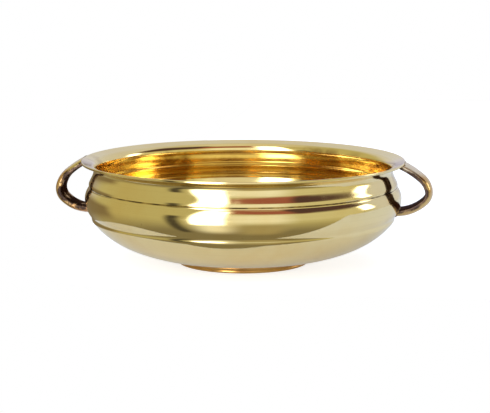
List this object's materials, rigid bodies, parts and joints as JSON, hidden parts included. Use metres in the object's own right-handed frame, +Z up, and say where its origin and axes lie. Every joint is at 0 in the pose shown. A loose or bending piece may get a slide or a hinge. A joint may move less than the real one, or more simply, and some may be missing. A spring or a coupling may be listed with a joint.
{
  "type": "urli bowl",
  "caption": "Wide shallow brass bowl with a flared lip, a ridged rounded wall, two fixed loop handles under the rim and a low foot ring.",
  "frame": {"origin": "centre of the resting face under the foot ring, on the bowl's turning axis", "axes": "+Z up along the turning axis, X through the two handles, the right handle at +X"},
  "size_m": [0.3597, 0.305, 0.098],
  "materials": {
    "bowl_brass": "polished, with fine turning lines",
    "foot_brass": "turned, redder than the bowl",
    "handle_brass": "cast, darkened, rubbed bright on the crown",
    "braze": "dull brazing brass"
  },
  "bodies": {
    "root": {"bowl": "bowl_brass", "foot_ring": "foot_brass", "left_handle": "handle_brass", "right_handle": "handle_brass", "foot_ring_braze": "braze", "left_handle_top_braze": "braze", "left_handle_bottom_braze": "braze", "right_handle_top_braze": "braze", "right_handle_bottom_braze": "braze"}
  },
  "joints": []
}
